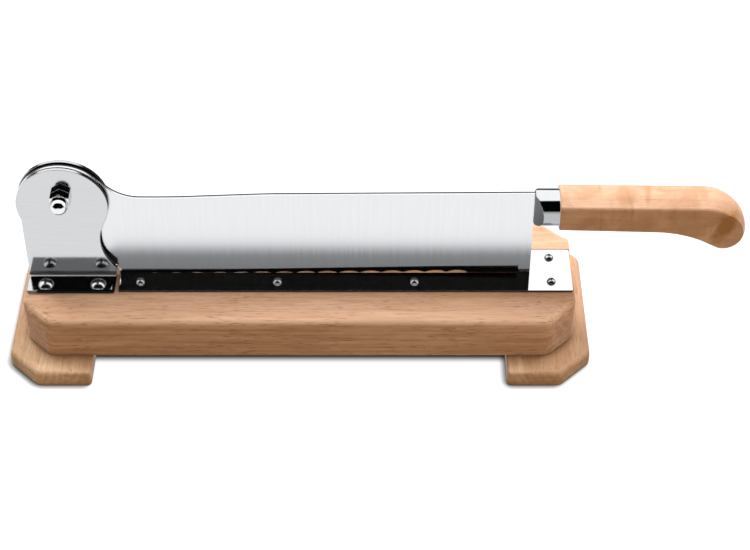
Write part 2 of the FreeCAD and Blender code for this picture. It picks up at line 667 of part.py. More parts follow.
def blade_outline():
    head = Vector(pivot_x, 0, pivot_z - BRACKET_HEAD_DROP)
    spine_start = on_circle(head, BLADE_HEAD_RADIUS, SPINE_START_ANGLE)
    dip_z = plate_top + SPINE_DIP_HEIGHT
    slope = math.tan(math.radians(90 - SPINE_START_ANGLE))
    dip_start = spine_start.x + (spine_start.z - dip_z) / slope
    neck_drop = math.sqrt(BLADE_HEAD_RADIUS ** 2 - NECK_REACH ** 2)
    neck_top = head + Vector(NECK_REACH, 0, -neck_drop)
    tongue_top = arm_axis_z + TONGUE_HEIGHT / 2
    tongue_low = arm_axis_z - TONGUE_HEIGHT / 2
    dip_corner = Vector(dip_start, 0, dip_z)
    rise_start = Vector(pivot_x + SPINE_DIP_END, 0, dip_z)
    rise_end = Vector(pivot_x + SPINE_RISE_END, 0, plate_top + SPINE_RISE_HEIGHT)
    spine_end = Vector(blade_end, 0, spine_z)
    start_radius = radius_for_run(dip_corner, rise_start, rise_end, SPINE_ROUND_RUN)
    end_radius = radius_for_run(rise_start, rise_end, spine_end, SPINE_ROUND_RUN)
    rows = [
        (spine_start.x, spine_start.z, 0),
        (dip_start, dip_z, SPINE_HEAD_BLEND),
        (rise_start.x, rise_start.z, start_radius),
        (rise_end.x, rise_end.z, end_radius),
        (blade_end, spine_z, 0),
        (blade_end, tongue_top, 0),
        (blade_end + TONGUE_LENGTH, tongue_top, 0),
        (blade_end + TONGUE_LENGTH, tongue_low, 0),
        (blade_end, tongue_low, 0),
        (blade_end, plate_top, TAB_CORNER_ROUND),
        (tab_start, plate_top, 0),
        (tab_start, edge_height(tab_start), 0),
        (heel_x, edge_height(heel_x), 0),
        (heel_x, plate_top + HEEL_CORNER_HEIGHT, HEEL_CORNER_ROUND),
        (pivot_x + NECK_REACH, plate_top + NECK_CORNER_HEIGHT, NECK_BLEND),
        (neck_top.x, neck_top.z, 0)]
    far_side = head - Vector(BLADE_HEAD_RADIUS, 0, 0)
    round_head = Part.Arc(neck_top, far_side, spine_start).toShape()
    return Part.Face(Part.Wire(path_edges(in_side_view(rows)) + [round_head]))


def bevel_tool():
    """What grinding takes off the front of the blade, from the bevel's top line down."""
    cut_start = heel_x - MARGIN
    loops = []
    for x, top in ((heel_x, BEVEL_TOP_AT_HEEL), (tab_start, BEVEL_TOP_AT_TIP)):
        edge_z = edge_height(x)
        top_z = plate_top + top
        slope = (blade_half - EDGE_LAND / 2) / (top_z - edge_z)
        low_z = edge_z - MARGIN
        low_y = -EDGE_LAND / 2 + slope * MARGIN
        where = cut_start if x == heel_x else x
        points = [(-blade_half, top_z), (low_y, low_z), (-blade_half - MARGIN, low_z),
                  (-blade_half - MARGIN, top_z)]
        vectors = [Vector(where, y, z) for y, z in points]
        loops.append(Part.makePolygon(vectors + vectors[:1]))
    return Part.makeLoft(loops, True, True)


def scallop_tools():
    """Cylinders across the edge; each leaves one scallop."""
    half_pitch = SCALLOP_PITCH / 2
    radius = (half_pitch ** 2 + SCALLOP_DEPTH ** 2) / (2 * SCALLOP_DEPTH)
    tools = []
    for index in range(SCALLOP_COUNT):
        x = heel_x + SCALLOP_FIRST + index * SCALLOP_PITCH
        centre = Vector(x, -BLADE_THICKNESS, edge_height(x) + SCALLOP_DEPTH - radius)
        tools.append(Part.makeCylinder(radius, 2 * BLADE_THICKNESS, centre, Vector(0, 1, 0)))
    return tools


def blade():
    sheet = blade_outline().extrude(Vector(0, BLADE_THICKNESS, 0))
    sheet.translate(Vector(0, -blade_half, 0))
    bevel = bevel_tool()
    bore = cylinder_y(bush_radius + RUNNING_CLEARANCE, -blade_half - MARGIN, blade_half + MARGIN)
    return sheet.cut([bore, bevel, mirrored(bevel)] + scallop_tools())


# ---------------------------------------------------------------- ferrule, tang and handle

def ferrule_flat():
    """What is ground off the front of the ferrule towards the blade."""
    slope = (FERRULE_RADIUS - FERRULE_FLAT_NOSE) / FERRULE_FLAT_RUN
    near = blade_end - MARGIN
    near_y = -FERRULE_FLAT_NOSE + slope * MARGIN
    far = blade_end + FERRULE_FLAT_RUN + MARGIN
    far_y = -FERRULE_RADIUS - slope * MARGIN
    points = [Vector(near, near_y, 0), Vector(far, far_y, 0), Vector(near, far_y, 0)]
    wedge = Part.Face(Part.makePolygon(points + points[:1])).extrude(Vector(0, 0, 4 * FERRULE_RADIUS))
    wedge.translate(Vector(0, 0, arm_axis_z - 2 * FERRULE_RADIUS))
    return wedge


def ferrule():
    turned = cylinder_x(FERRULE_RADIUS, blade_end, ferrule_end)
    nose = [edge for edge in turned.Edges
            if edge.BoundBox.XLength < TOUCHING and abs(edge.BoundBox.XMin - blade_end) < TOUCHING]
    turned = turned.makeFillet(FERRULE_EDGE_ROUND, nose)
    flat = ferrule_flat()
    slot_half = blade_half + TONGUE_CLEARANCE
    slot_rise = TONGUE_HEIGHT / 2 + TONGUE_CLEARANCE
    tongue_end = blade_end + TONGUE_LENGTH + TONGUE_CLEARANCE
    slot = box(blade_end - MARGIN, tongue_end, -slot_half, slot_half,
               arm_axis_z - slot_rise, arm_axis_z + slot_rise)
    bore = cylinder_x(TANG_RADIUS + TANG_CLEARANCE, blade_end + TONGUE_LENGTH, ferrule_end + MARGIN)
    return turned.cut([flat, mirrored(flat), slot, bore])


def tang():
    return cylinder_x(TANG_RADIUS, blade_end + TONGUE_LENGTH + TONGUE_CLEARANCE,
                      ferrule_end + TANG_IN_HANDLE)


def handle_outline():
    """The grip from the side: straight top, round drooping end, hollowed underside."""
    end_centre = Vector(ferrule_end + HANDLE_LENGTH - HANDLE_END_RADIUS, 0,
                        arm_axis_z - HANDLE_END_DROP)
    middle_z = arm_axis_z - HANDLE_DROP
    top_height = middle_z + HANDLE_HALF_HEIGHT - HANDLE_TOP_FALL
    rise = top_height - HANDLE_TOP_RADIUS - end_centre.z
    centres_apart = HANDLE_TOP_RADIUS - HANDLE_END_RADIUS
    top_centre = end_centre + Vector(-math.sqrt(centres_apart ** 2 - rise ** 2), 0, rise)
    top_start = Vector(ferrule_end, 0, middle_z + HANDLE_HALF_HEIGHT)
    low_start = Vector(ferrule_end, 0, middle_z - HANDLE_HALF_HEIGHT)
    belly = Vector(end_centre.x - HANDLE_BELLY_BACK, 0, low_start.z - HANDLE_BELLY_DROP)
    top_touch = tangent_point(top_start, top_centre, HANDLE_TOP_RADIUS, -1)
    low_touch = tangent_point(belly, end_centre, HANDLE_END_RADIUS, 1)
    meet_direction = (end_centre - top_centre).normalize()
    meet = top_centre + meet_direction * HANDLE_TOP_RADIUS
    shoulder_direction = ((top_touch - top_centre).normalize() + meet_direction).normalize()
    shoulder = top_centre + shoulder_direction * HANDLE_TOP_RADIUS
    tip_direction = ((low_touch - end_centre).normalize() + meet_direction).normalize()
    tip = end_centre + tip_direction * HANDLE_END_RADIUS
    belly_run = (low_touch - belly).Length * HANDLE_BELLY_SHARE
    belly_radius = radius_for_run(low_touch, belly, low_start, belly_run)
    underside = path_edges([(low_touch, 0), (belly, belly_radius), (low_start, 0)])
    edges = [
        Part.makeLine(top_start, top_touch),
        Part.Arc(top_touch, shoulder, meet).toShape(),
        Part.Arc(meet, tip, low_touch).toShape()]
    edges += underside
    edges.append(Part.makeLine(low_start, top_start))
    return Part.Face(Part.Wire(edges))


def handle_facet():
    """What is planed off the front corner of the grip's end."""
    size = 2 * HANDLE_LENGTH
    slab = Part.makeBox(size, size, size, Vector(-size / 2, -size, -size / 2))
    slab.rotate(Vector(0, 0, 0), Z_AXIS, FACET_ANGLE)
    slab.rotate(Vector(0, 0, 0), Vector(0, 1, 0), FACET_LEAN)
    slab.translate(Vector(ferrule_end + FACET_START, -HANDLE_WIDTH / 2, arm_axis_z))
    return slab


def edges_along_grip(solid, half_width):
    """The edges at one distance from the grip's middle plane, but for those at the ferrule."""
    found = []
    for edge in solid.Edges:
        bounds = edge.BoundBox
        level = bounds.YLength < TOUCHING and abs(abs(bounds.YMin) - half_width) < TOUCHING
        on_start = bounds.XLength < TOUCHING and abs(bounds.XMin - ferrule_end) < TOUCHING
        if level and not on_start:
            found.append(edge)
    return found


def handle():
    """Flat sides, and a top and underside that slope off to a shoulder on each side."""
    side = HANDLE_WIDTH / 2
    blank = handle_outline().extrude(Vector(0, HANDLE_WIDTH, 0))
    blank.translate(Vector(0, -side, 0))
    grip = blank.makeChamfer(HANDLE_SHOULDER_RUN, HANDLE_SHOULDER_DROP, edges_along_grip(blank, side))
    grip = grip.makeFillet(HANDLE_SHOULDER_ROUND, edges_along_grip(grip, side))
    grip = grip.makeFillet(HANDLE_CROWN_ROUND, edges_along_grip(grip, side - HANDLE_SHOULDER_RUN))
    start_edges = []
    for edge in grip.Edges:
        bounds = edge.BoundBox
        if bounds.XLength < TOUCHING and abs(bounds.XMin - ferrule_end) < TOUCHING:
            start_edges.append(edge)
    grip = grip.makeFillet(HANDLE_START_ROUND, start_edges)
    facet = handle_facet()
    bore = cylinder_x(TANG_RADIUS + TANG_CLEARANCE, ferrule_end - MARGIN,
                      ferrule_end + TANG_IN_HANDLE + TANG_CLEARANCE)
    return grip.cut([facet, mirrored(facet), bore])


# ---------------------------------------------------------------- the assembly

def main():
    os.makedirs("parts", exist_ok=True)
    bracket = front_bracket()
    screws = bracket_screws()
    spacer = front_spacer_washer()
    save("base_board", [base_board()])
    save("left_foot", [foot(-1)])
    save("right_foot", [foot(1)])
    save("left_foot_screws", foot_screws(-1))
    save("right_foot_screws", foot_screws(1))
    save("slot_plate", [slot_plate()])
    save("slot_plate_screws", slot_plate_screws())
    save("front_bracket", [bracket])
    save("rear_bracket", [mirrored(bracket)])
    save("front_bracket_screws", screws)
    save("rear_bracket_screws", [mirrored(screw) for screw in screws])
    save("pivot_bolt", [pivot_bolt()])
    save("pivot_head_washer", [pivot_head_washer()])
    save("pivot_cap_nut", [pivot_cap_nut()])
    save("pivot_bush", [pivot_bush()])
    save("front_spacer_washer", [spacer])
    save("rear_spacer_washer", [mirrored(spacer)])
    save("blade", [blade()])
    save("ferrule", [ferrule()])
    save("tang", [tang()])
    save("handle", [handle()])
    print("pivot at x %.3f z %.3f, arm axis z %.3f" % (pivot_x, pivot_z, arm_axis_z))


main()
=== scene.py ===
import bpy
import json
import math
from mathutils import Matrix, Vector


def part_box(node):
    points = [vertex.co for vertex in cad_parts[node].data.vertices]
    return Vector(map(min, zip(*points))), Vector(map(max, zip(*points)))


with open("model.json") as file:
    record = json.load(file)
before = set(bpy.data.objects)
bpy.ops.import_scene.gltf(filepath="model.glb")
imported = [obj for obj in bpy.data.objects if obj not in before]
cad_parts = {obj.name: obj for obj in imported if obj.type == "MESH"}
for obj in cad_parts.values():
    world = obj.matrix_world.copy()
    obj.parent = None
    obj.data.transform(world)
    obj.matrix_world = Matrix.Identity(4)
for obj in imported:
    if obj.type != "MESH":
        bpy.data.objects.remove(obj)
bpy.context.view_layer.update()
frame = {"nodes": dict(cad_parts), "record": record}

# %% [markdown]
# # A lever bread slicer in beech and polished steel
#
# This lesson dresses a finished CAD model. The bodies, their sizes and the one hinge are already
# right, so nothing is moved or reshaped here. What is left is the work of light and surface:
# grain in the wood, polish on the steel, and a studio that lets polished steel look polished.

nodes = frame["nodes"]
bodies = frame["record"]["behaviour"]["bodies"]
print("bodies:", {body: len(names) for body, names in bodies.items()})

# %% [markdown]
# ## The camera
#
# The slicer is seen from its long side, from a little under forty five degrees up, as a cook
# standing at the worktop sees it. A wide lens close by would flare the board's near corners. A
# long lens from further off keeps its edges nearly parallel, so that one is used.

# %% Set the camera
LENS = 90.08                                # mm, on a 36 mm wide sensor
TILT = 48.316                               # degrees up from looking straight down
CAMERA_PLACE = (0.0, -0.98447, 0.91476)

camera_data = bpy.data.cameras.new("camera")
camera_data.sensor_width = 36.0
camera_data.lens = LENS
camera = bpy.data.objects.new("camera", camera_data)
camera.location = CAMERA_PLACE
camera.rotation_euler = (math.radians(TILT), 0.0, 0.0)
bpy.context.scene.collection.objects.link(camera)
bpy.context.scene.camera = camera
bpy.context.scene.view_settings.view_transform = "Standard"
print("camera looks down by", round(90 - TILT, 1), "degrees with a", LENS, "mm lens")

# %% [markdown]
# ## A small kit for node materials
#
# Every finish below is a chain of nodes. They could be placed by hand in the shader editor, but a
# written chain can be read from top to bottom and reused. These helpers add a node, fill its
# sockets by name and join it to the ones before it.


# %% Helpers that add nodes
def fill(tree, socket, value):
    """Give a socket a number, a colour or another node's output."""
    if isinstance(value, bpy.types.NodeSocket):
        tree.links.new(value, socket)
    else:
        socket.default_value = value


def add(tree, kind, settings=None, **sockets):
    """Add one node and fill its sockets, each given by its name, or by n and its number."""
    made = tree.nodes.new(kind)
    for name, value in (settings or {}).items():
        setattr(made, name, value)
    for name, value in sockets.items():
        key = int(name[1:]) if name[0] == "n" and name[1:].isdigit() else name.replace("_", " ")
        fill(tree, made.inputs[key], value)
    return made


def empty(name):
    """A new material with no nodes in it."""
    material = bpy.data.materials.new(name)
    material.use_nodes = True
    material.node_tree.nodes.clear()
    return material, material.node_tree


def blank(name):
    """A new material that holds a Principled shader joined to its output."""
    material, tree = empty(name)
    shader = add(tree, "ShaderNodeBsdfPrincipled")
    add(tree, "ShaderNodeOutputMaterial", Surface=shader.outputs["BSDF"])
    return material, tree, shader


print("node helpers:", [helper.__name__ for helper in (fill, add, empty, blank)])

# %% [markdown]
# Masks are numbers from nought to one that say where a finish applies. They are made with plain
# arithmetic: two masks multiplied give the place where both hold, and the larger of two masks
# gives the place where either holds.


# %% Helpers that reckon with masks
def sums(tree, operation, first, second=0.0, third=0.0):
    """One step of arithmetic."""
    return add(tree, "ShaderNodeMath", {"operation": operation}, n0=first, n1=second, n2=third).outputs[0]


def both(tree, first, second):
    """Where two masks meet."""
    return sums(tree, "MULTIPLY", first, second)


def either(tree, first, second):
    """Where one mask or the other is."""
    return sums(tree, "MAXIMUM", first, second)


def remap(tree, value, low, high, to_low=0.0, to_high=1.0, soft=True):
    """Stretch low..high onto to_low..to_high, held at both ends, and eased if soft."""
    settings = {"interpolation_type": "SMOOTHSTEP"} if soft else {}
    return add(tree, "ShaderNodeMapRange", settings, Value=value, From_Min=low, From_Max=high,
               To_Min=to_low, To_Max=to_high).outputs[0]


def blend(tree, factor, first, second):
    """Mix two colours; each may be written out or come from a node."""
    return add(tree, "ShaderNodeMix", {"data_type": "RGBA", "clamp_factor": True},
               n0=factor, n6=first, n7=second).outputs[2]


def between(tree, factor, first, second):
    """Mix two numbers in the same way."""
    return add(tree, "ShaderNodeMix", {"data_type": "FLOAT"}, n0=factor, n2=first, n3=second).outputs[0]


print("mask helpers:", [helper.__name__ for helper in (sums, both, either, remap, blend, between)])

# %% [markdown]
# ## The floor
#
# Polished steel has no colour of its own: it shows the room. A studio puts white card all round it and
# hangs black card where the steel would otherwise go flat. A real sheet of card would also throw its light
# on the wood and take the lamps' shadows. Here each kind of ray gets its own answer instead: the camera
# sees white paper, reflections see an even glow, and the wood gets a dim warm light back. What is left of
# the shadows is painted into the glow: a thin painted contact shade round the feet, and a painted shadow
# under the board.

# %% Make the floor's shape
FLOOR_REACH = 6.0
FLOOR_DROP = 0.0002                         # just under the feet, so that no two faces coincide


def sheet(name, left, right, near, far, height):
    """A flat rectangle that faces up."""
    mesh = bpy.data.meshes.new(name)
    corners = [(left, near, height), (right, near, height), (right, far, height), (left, far, height)]
    mesh.from_pydata(corners, [], [(0, 1, 2, 3)])
    made = bpy.data.objects.new(name, mesh)
    bpy.context.scene.collection.objects.link(made)
    return made


floor = sheet("floor", -FLOOR_REACH, FLOOR_REACH, -FLOOR_REACH, FLOOR_REACH, 0.0)
floor.location.z = -FLOOR_DROP
print("floor is", 2 * FLOOR_REACH, "m across")

# %% Find the shade on the floor
# The painted contact shade is looked for on the key lamp's side, so it falls on the other side of each
# foot.
TOWARDS_KEY = (0.55, 0.42, 0.72)
CONTACT_REACH = 0.006
CONTACT_DARK, CONTACT_CLEAR = 0.30, 0.86    # how much open air is seen at full shade and at none
CLEAR_LEVEL = 1.25
UNDER_START, UNDER_FULL = 0.0045, 0.0130    # how far in under the board's sides the painted shadow begins
FOOT_GAP = (0.001, 0.002)                   # and where it ends, past the feet

card, tree = empty("white card")
leaning = add(tree, "ShaderNodeCombineXYZ", X=TOWARDS_KEY[0], Y=TOWARDS_KEY[1], Z=TOWARDS_KEY[2])
# Painted contact shade: the glow is darkened where little open air is seen.
near = add(tree, "ShaderNodeAmbientOcclusion", {"samples": 16}, Distance=CONTACT_REACH,
           Normal=leaning.outputs[0])
near = remap(tree, near.outputs["AO"], CONTACT_DARK, CONTACT_CLEAR, 0.0, CLEAR_LEVEL, soft=False)

spot = add(tree, "ShaderNodeSeparateXYZ", Vector=add(tree, "ShaderNodeNewGeometry").outputs["Position"])
floor_x, floor_y = spot.outputs[0], spot.outputs[1]
board_low, board_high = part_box("base_board")
left_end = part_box("left_foot")[1].x
right_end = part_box("right_foot")[0].x
# Painted shadow under the board: the glow is darkened by where a point lies, between the feet.
under_front = remap(tree, floor_y, board_low.y + UNDER_START, board_low.y + UNDER_FULL)
under_back = remap(tree, floor_y, board_high.y - UNDER_START, board_high.y - UNDER_FULL)
past_left = remap(tree, floor_x, left_end - FOOT_GAP[1], left_end - FOOT_GAP[0])
before_right = remap(tree, floor_x, right_end + FOOT_GAP[1], right_end + FOOT_GAP[0])
under = both(tree, both(tree, under_front, under_back), both(tree, past_left, before_right))
near = both(tree, near, sums(tree, "SUBTRACT", 1.0, under))
print("the dark under the board lies between x =", round(left_end, 3), "and", round(right_end, 3), "m")

# %% Give the floor its card
WHITE = (1.0, 1.0, 1.0, 1.0)
PAPER = (0.90, 0.90, 0.90, 1.0)
WARM_RETURN = (0.38, 0.29, 0.19, 1.0)       # what the floor sends back to the wood
MIRROR_FLOOR = 1.42                         # how bright reflections see the floor
CARD_END = (0.7, 1.0)                       # m behind the slicer, where reflections see it end
CARD_END_LEVEL = 0.05
OWN_LIGHT = 0.80                            # share of the paper's white that doesn't depend on lamps

path = add(tree, "ShaderNodeLightPath")
mirror_ray = path.outputs["Is Glossy Ray"]
seen = either(tree, path.outputs["Is Camera Ray"], mirror_ray)
seen = either(tree, seen, path.outputs["Is Transmission Ray"])
matt = add(tree, "ShaderNodeBsdfDiffuse", Color=blend(tree, seen, WARM_RETURN, PAPER))
card_end = remap(tree, floor_y, CARD_END[0], CARD_END[1], MIRROR_FLOOR, CARD_END_LEVEL)
glow = add(tree, "ShaderNodeEmission", Color=WHITE, Strength=between(tree, mirror_ray, near, card_end))
share = either(tree, sums(tree, "MULTIPLY", seen, OWN_LIGHT), mirror_ray)
mixed = add(tree, "ShaderNodeMixShader", n0=share, n1=matt.outputs[0], n2=glow.outputs[0])
add(tree, "ShaderNodeOutputMaterial", Surface=mixed.outputs[0])
floor.data.materials.append(card)
print("reflections see the floor at a level of", MIRROR_FLOOR)

# %% [markdown]
# ## The surroundings
#
# The room is white, and a soft edged black card hangs in front of the slicer and over it. It is
# what draws the deep blacks in the cap nut, the collar and the bends, and only reflections see
# it. A card could be modelled as a plane, but as a part of the sky it stays out of the lamps' way
# and casts no shadow. Angles are heights over the floor, counted from the cook's side, and
# turns to the left or right of straight ahead.

# %% Make the surroundings
AMBIENT = 0.36                              # light from the room on the wood
AMBIENT_TINT = (1.0, 0.945, 0.77, 1.0)
MIRROR_SKY = 1.70                           # how bright reflections see the room overhead
MIRROR_HORIZON = 0.9
SKY_CLIMB = (10, 60)
BLACK_FOOT = (6, 13)                        # degrees between which the black card begins
BLACK_TOP = (74, 79)                        # and ends
BLACK_SIDES = (66, 80)                      # and where it ends to the left and right
SWEEP_SIDES = (14, 32)                      # towards its sides the card hangs lower
SWEEP_DROP = 16
FAR_BLACK = (158, 166)                      # a second one, low down on the far side
BLACK_TAKES = 0.999                         # share of the light that the card takes


def by_degrees(tree, value, turn, to_low=0.0, to_high=1.0):
    return remap(tree, value, math.radians(turn[0]), math.radians(turn[1]), to_low, to_high)


world = bpy.data.worlds.new("white room")
bpy.context.scene.world = world
world.use_nodes = True
tree = world.node_tree
tree.nodes.clear()
axes = add(tree, "ShaderNodeSeparateXYZ", Vector=add(tree, "ShaderNodeTexCoord").outputs["Generated"])
toward = sums(tree, "MULTIPLY", axes.outputs[1], -1.0)
height = sums(tree, "ARCTAN2", axes.outputs[2], toward)
aside = sums(tree, "ARCTAN2", sums(tree, "ABSOLUTE", axes.outputs[0]), toward)

lower_at_sides = by_degrees(tree, aside, SWEEP_SIDES, 0.0, math.radians(SWEEP_DROP))
above_low = by_degrees(tree, sums(tree, "ADD", height, lower_at_sides), BLACK_FOOT)
below_high = by_degrees(tree, height, BLACK_TOP, 1.0, 0.0)
side = by_degrees(tree, aside, BLACK_SIDES, 1.0, 0.0)
dark = both(tree, both(tree, above_low, below_high), side)
dark = either(tree, dark, by_degrees(tree, height, FAR_BLACK))
bright = by_degrees(tree, height, SKY_CLIMB, MIRROR_HORIZON, MIRROR_SKY)
left_over = sums(tree, "SUBTRACT", 1.0, sums(tree, "MULTIPLY", dark, BLACK_TAKES))
mirrored = sums(tree, "MULTIPLY", bright, left_over)

path = add(tree, "ShaderNodeLightPath")
mirror_ray = path.outputs["Is Glossy Ray"]
clear_ray = path.outputs["Is Transmission Ray"]
plain = either(tree, path.outputs["Is Camera Ray"], clear_ray)
plain = remap(tree, plain, 0.0, 1.0, AMBIENT, 1.0, soft=False)
lit = either(tree, either(tree, mirror_ray, path.outputs["Is Camera Ray"]), clear_ray)
sky = add(tree, "ShaderNodeBackground", Color=blend(tree, lit, AMBIENT_TINT, WHITE),
          Strength=between(tree, mirror_ray, plain, mirrored))
add(tree, "ShaderNodeOutputWorld", Surface=sky.outputs[0])
print("the room lights the wood at a level of", AMBIENT)

# %% [markdown]
# ## The lamps
#
# Lamps shape the wood: its tops and far corners are pale, its near sides are in soft shade. One
# lamp behind the board does most of it. A bare bulb would give hard shadows, so each lamp is a
# wide sheet of light. None of them is seen in the steel, where it would leave a square spot.


# %% Hang the lamps
def lamp(name, place, target, width, watts, tint=(1.0, 1.0, 1.0)):
    """A square of light, width metres wide, turned towards its target."""
    data = bpy.data.lights.new(name, "AREA")
    data.size = width
    data.energy = watts
    data.color = tint
    made = bpy.data.objects.new(name, data)
    made.location = place
    made.rotation_euler = (Vector(target) - Vector(place)).to_track_quat("-Z", "Y").to_euler()
    made.visible_glossy = False
    bpy.context.scene.collection.objects.link(made)
    return made


lamps = [
    lamp("key behind at the right", (0.50, 0.58, 1.25), (0.05, 0.0, 0.03), 0.8, 26.5, (0.90, 0.985, 1.12)),
    lamp("behind at the left", (-0.70, 0.60, 0.80), (-0.24, 0.0, 0.02), 0.4, 9.0, (0.92, 1.0, 1.08)),
    lamp("soft overhead", (0.45, 0.05, 1.6), (0.1, 0.0, 0.05), 0.9, 5.5),
    lamp("low in front", (0.45, -1.0, 0.35), (0.10, 0.0, 0.06), 0.5, 1.0, (1.0, 0.95, 0.84)),
]
print("lamps:", [made.name for made in lamps])

# %% [markdown]
# ## Beech
#
# The board, the feet and the grip are steamed beech, sanded and wiped with a little oil. Beech has
# no big pores. What marks it is a peach tan ground, soft streaks that run with the grain, and
# thousands of small brown flecks, the wood's rays cut through. A picture wrapped round each piece
# would show seams at its corners. Solid noise has none: it fills space, so when it is squeezed
# along the grain, long faces show streaks and end faces show dots, as in a real plank.

# %% Helpers for solid patterns
UNSQUEEZED = (1.0, 1.0, 1.0)


def stretched(tree, scale=UNSQUEEZED, move=(0.0, 0.0, 0.0)):
    """The piece's own coordinates in metres, squeezed by scale, so that a finish stays put."""
    where = add(tree, "ShaderNodeTexCoord")
    return add(tree, "ShaderNodeMapping", Vector=where.outputs["Object"], Scale=scale,
               Location=move).outputs[0]


def own_axes(tree, move=(0.0, 0.0, 0.0)):
    """The piece's own X, Y and Z in metres, one output each."""
    return add(tree, "ShaderNodeSeparateXYZ", Vector=stretched(tree, UNSQUEEZED, move)).outputs


def noise(tree, vector, scale, detail=2.0, roughness=0.5, distortion=0.0):
    """Solid noise around one half; a larger scale gives finer marks."""
    return add(tree, "ShaderNodeTexNoise", Vector=vector, Scale=scale, Detail=detail,
               Roughness=roughness, Distortion=distortion).outputs[0]


def looks_along(tree, axis):
    """How far a face of the piece looks along an axis, from one to minus one."""
    where = add(tree, "ShaderNodeTexCoord")
    return add(tree, "ShaderNodeSeparateXYZ", Vector=where.outputs["Normal"]).outputs[axis]


def facing(tree, axis, low, high):
    """A mask of the faces that look along an axis, eased from nought at low to one at high."""
    return remap(tree, looks_along(tree, axis), low, high)


def colour(red, green, blue):
    """A colour written as it looks on a screen, from 0 to 255, turned into light."""
    parts = []
    for part in (red, green, blue):
        part = part / 255
        parts.append(part / 12.92 if part <= 0.04045 else ((part + 0.055) / 1.055) ** 2.4)
    return (*parts, 1.0)


X_AXIS, Y_AXIS, Z_AXIS = 0, 1, 2
print("patterns are measured in metres, from", tuple(nodes["base_board"].location))
print("a mid grey of 128 is", round(colour(128, 128, 128)[0], 3), "as light")


# %% The marks in beech
def beech_marks(tree, grain):
    """The wood's marks as masks, each drawn out along the grain, which is the axis X or Y."""
    across = 1 - grain

    def squeezed(along, sideways=1.0, move=(0.0, 0.0, 0.0)):
        scale = [1.0, 1.0, 1.0]
        scale[grain] = along
        scale[across] = sideways
        return stretched(tree, tuple(scale), move)

    end = sums(tree, "ADD", facing(tree, grain, 0.5, 0.9), facing(tree, grain, -0.5, -0.9))
    ring = add(tree, "ShaderNodeTexWave",
               {"wave_type": "RINGS", "rings_direction": "XYZ"[grain], "wave_profile": "SAW"},
               Vector=squeezed(0.10, 1.0, (0.004, 0.013, 0.062)), Scale=70.0, Distortion=4.0, Detail=3.0,
               Detail_Scale=1.6).outputs[1]
    dash = remap(tree, noise(tree, squeezed(0.10, 1.0, (0.31, 0.17, 0.53)), 1250.0, 1.0, 0.4), 0.59, 0.70)
    crowd = remap(tree, noise(tree, squeezed(0.4, 1.0, (0.7, 0.2, 0.1)), 60.0, 3.0), 0.36, 0.62, 0.35, 1.0)
    dash = both(tree, both(tree, dash, crowd), remap(tree, end, 0.0, 1.0, 1.0, 0.3))
    broad = noise(tree, squeezed(0.07), 42.0, 3.0, 0.55)
    streak = noise(tree, squeezed(0.05, 0.8, (0.3, 0.1, 0.2)), 280.0, 5.0, 0.62)
    line = noise(tree, squeezed(0.045, 0.8, (0.7, 0.5, 0.1)), 950.0, 3.0, 0.6)
    layer = noise(tree, squeezed(0.025, 0.10, (0.2, 0.6, 0.4)), 430.0, 4.0, 0.6)
    cloud = noise(tree, squeezed(1.0, 1.0, (0.11, 0.4, 0.3)), 52.0, 3.0, 0.55, 0.6)
    return {
        "broad": remap(tree, broad, 0.36, 0.64),    # wide bands of paler and darker wood
        "streak": remap(tree, streak, 0.38, 0.66),  # streaks a few millimetres wide
        "line": remap(tree, line, 0.42, 0.68),      # lines as fine as a hair
        "layer": remap(tree, layer, 0.44, 0.68),    # layers that lie flat and show on the sides
        "cloud": remap(tree, cloud, 0.38, 0.64),    # clouds of darker wood
        "ring": remap(tree, ring, 0.10, 0.95),      # growth rings
        "dash": dash,                               # the rays' short flecks
    }


print("the rings run along", "XYZ"[X_AXIS], "in the board and along", "XYZ"[Y_AXIS], "in the feet")


# %% The beech recipe
PAINTED_EDGE_HIGHLIGHT = colour(238, 197, 165)         # a painted highlight on the rounded edges
PAINTED_CORNER_SHADE = colour(120, 78, 38)          # painted shade where two pieces meet and in creases
# Painted light for the kerf, which lies in shade.
PAINTED_KERF_LIGHT = colour(250, 222, 196)
TOP_CALM = 0.4                              # how much of the streaks shows on faces that look up


